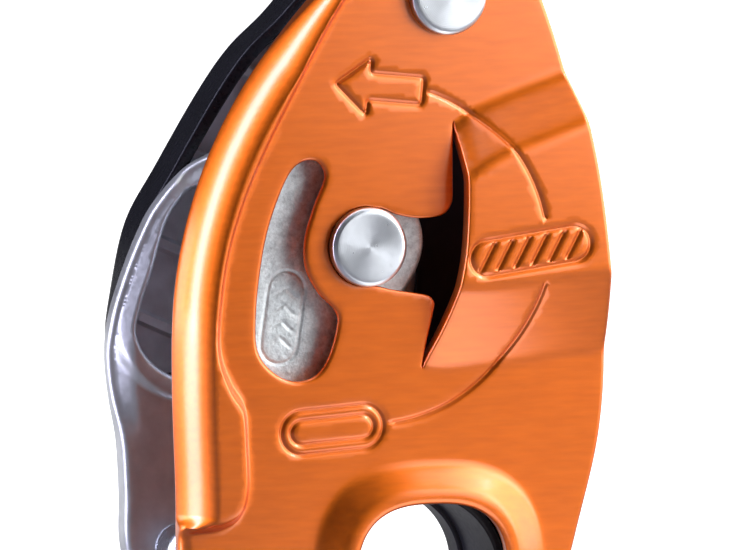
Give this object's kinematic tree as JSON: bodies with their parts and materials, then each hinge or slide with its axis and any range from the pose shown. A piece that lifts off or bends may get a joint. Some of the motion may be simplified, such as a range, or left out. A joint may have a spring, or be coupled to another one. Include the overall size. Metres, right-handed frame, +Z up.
{
  "type": "belay device",
  "caption": "Assisted-braking belay device: a cam on an axle between a fixed and a swinging side plate pinches the rope, with a folding release handle and a carabiner hole.",
  "frame": {"origin": "centre of the attachment hole, at the fixed side plate's inner face", "axes": "+Z up the device towards the swing pivot; +Y along the attachment hole, from the swinging side plate towards the handle; +X towards the closed side that the rope turns round"},
  "size_m": [0.0569, 0.0338, 0.0997],
  "materials": {
    "orange_anodised": "satin anodised, brushed",
    "bare_aluminium": "satin",
    "rivet_steel": "spun satin",
    "bare_steel": "satin",
    "spring_steel": "drawn wire",
    "cast_cam": "investment cast, blasted",
    "bush_bronze": "turned",
    "guide_nylon": "moulded, slightly glossy",
    "handle_nylon": "moulded, fine texture"
  },
  "bodies": {
    "frame": {"fixed_side_plate": "bare_aluminium", "rope_guide": "guide_nylon", "rope_guide_rivets": "rivet_steel", "friction_plate": "bare_steel", "friction_plate_rivets": "rivet_steel", "rope_keeper_stud": "rivet_steel", "swing_pivot_rivet": "rivet_steel", "swing_pivot_spacer": "bare_steel", "swing_pivot_rear_washer": "bare_steel", "cam_axle": "rivet_steel", "axle_end_washer": "bare_steel", "handle_retaining_ring": "bare_steel", "cam_return_spring": "spring_steel", "handle_return_spring": "spring_steel"},
    "side_plate": {"moving_side_plate": "orange_anodised", "swing_friction_washer": "bare_steel"},
    "cam": {"cam": "cast_cam", "cam_bush_front": "bush_bronze", "cam_bush_rear": "bush_bronze", "cam_drive_stud": "bare_steel"},
    "handle": {"handle_core": "bare_steel", "handle_grip": "handle_nylon", "handle_bush": "bush_bronze", "handle_rivets": "rivet_steel"}
  },
  "joints": [
    {"name": "side_plate_swing", "type": "hinge", "parent": "frame", "child": "side_plate", "pos_m": [0.002, 0, 0.0695], "axis": [0, 1, 0], "range_deg": [0, 110]},
    {"name": "cam_lock", "type": "hinge", "parent": "frame", "child": "cam", "pos_m": [-0.008, 0, 0.04], "axis": [0, 1, 0], "range_deg": [0, 34], "stiffness_Nm_per_rad": 0.02, "springref_deg": -28.65, "deforming": ["cam_return_spring"]},
    {"name": "handle_unfold", "type": "hinge", "parent": "frame", "child": "handle", "pos_m": [-0.008, 0, 0.04], "axis": [0, -1, 0], "range_deg": [0, 150], "stiffness_Nm_per_rad": 0.015, "springref_deg": -28.65, "deforming": ["handle_return_spring"]}
  ]
}
